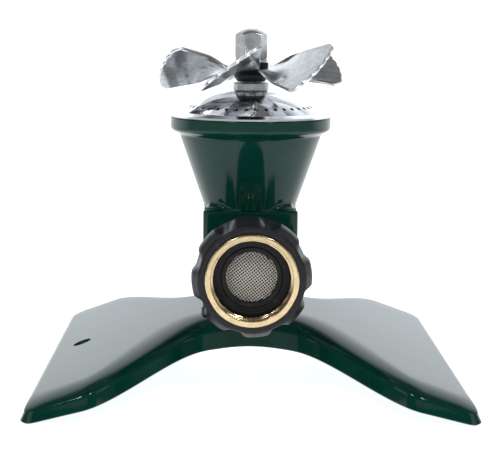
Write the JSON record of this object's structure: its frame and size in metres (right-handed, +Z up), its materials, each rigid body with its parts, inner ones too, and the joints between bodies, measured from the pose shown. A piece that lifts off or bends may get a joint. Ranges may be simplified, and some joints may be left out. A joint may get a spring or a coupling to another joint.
{
  "type": "lawn sprinkler",
  "caption": "Lawn sprinkler: saddle-shaped base, funnel head with perforated dome, free-spinning pinwheel rotor and swivelling hose coupling.",
  "frame": {"origin": "middle of the ground footprint, on the ground plane, under the spindle", "axes": "+Z up along the spindle, the hose comes from -Y, +X to the right seen from the hose"},
  "size_m": [0.1422, 0.1372, 0.1194],
  "materials": {
    "green_enamel": "gloss enamel",
    "zinc_steel": "zinc plated",
    "nut_steel": "turned and lightly polished",
    "turned_collar": "fine turned",
    "polished_dome": "mirror polished with a brushed brim",
    "rotor_aluminium": "bright stamped sheet",
    "black_plastic": "satin moulded",
    "grip_plastic": "satin moulded",
    "black_rubber": "matt",
    "brass": "machined",
    "fibre_seal": "matt",
    "screen_wire": "woven stainless wire"
  },
  "bodies": {
    "stand": {"base": "green_enamel", "base_screws": "zinc_steel", "base_screw_washers": "zinc_steel", "head_body": "green_enamel", "rim_gasket": "black_rubber", "spray_dome": "polished_dome", "dome_seal": "black_rubber", "dome_support_nut": "zinc_steel", "spindle": "zinc_steel", "spindle_lock_nut": "zinc_steel", "collar_nut": "turned_collar", "thrust_washer": "zinc_steel", "cap_nut": "nut_steel", "inlet_nipple": "brass", "nipple_seal": "fibre_seal"},
    "rotor": {"rotor_wheel": "rotor_aluminium", "rotor_hub": "black_plastic", "rotor_hub_cap": "black_plastic"},
    "coupling": {"swivel_nut": "brass", "grip_cover": "grip_plastic", "hose_washer": "black_rubber", "filter_screen": "screen_wire"}
  },
  "joints": [
    {"name": "rotor_spin", "type": "hinge", "parent": "stand", "child": "rotor", "pos_m": [0, 0, 0.105], "axis": [0, 0, 1], "continuous": true},
    {"name": "coupling_swivel", "type": "hinge", "parent": "stand", "child": "coupling", "pos_m": [0, -0.045, 0.0415], "axis": [0, -1, 0], "continuous": true}
  ]
}
